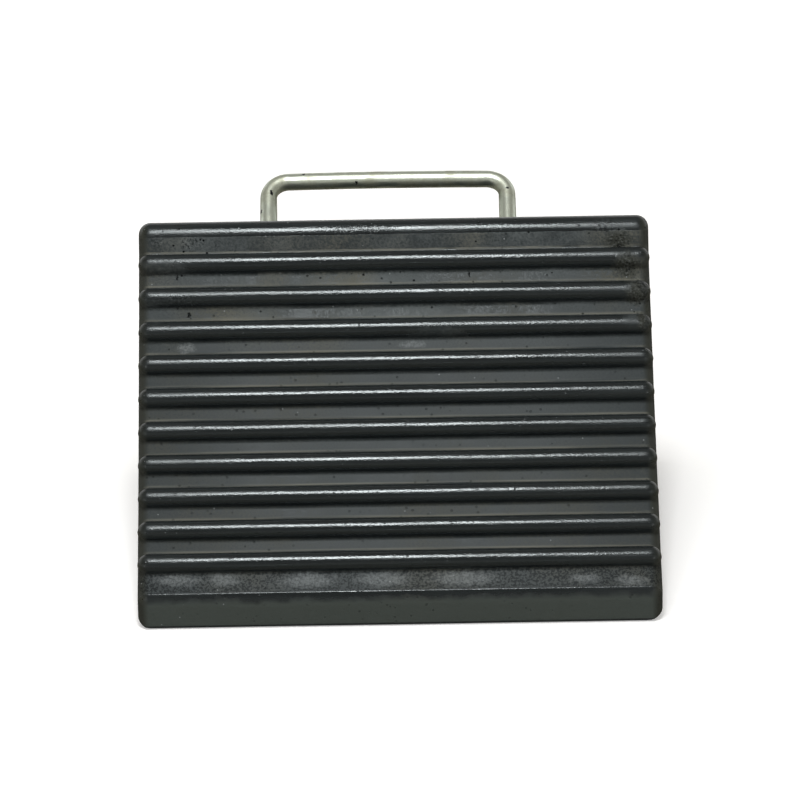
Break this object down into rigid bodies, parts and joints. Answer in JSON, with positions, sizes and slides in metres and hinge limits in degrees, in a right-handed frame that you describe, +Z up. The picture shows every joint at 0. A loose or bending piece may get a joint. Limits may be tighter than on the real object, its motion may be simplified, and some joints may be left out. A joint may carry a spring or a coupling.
{
  "type": "rubber wheel chock",
  "caption": "Moulded rubber wheel chock: a wedge with a hollow ribbed ramp, an upright toe and a rounded nose, with a bent steel rod as carry handle at the rear.",
  "frame": {"origin": "middle of the flat base, on the surface that the chock stands on", "axes": "+Z up, -Y towards the wheel that drives up the ramp, +Y to the rear where the handle is, X along the ribs"},
  "size_m": [0.25, 0.2208, 0.1512],
  "materials": {
    "moulded_rubber": "compression-moulded black rubber, semi-matt, with smooth ribs and dusty flats between them",
    "zinc_plated_steel": "drawn steel rod, bright zinc plated, with small handling nicks"
  },
  "bodies": {
    "root": {"rubber_block": "moulded_rubber", "carry_handle": "zinc_plated_steel"}
  },
  "joints": []
}
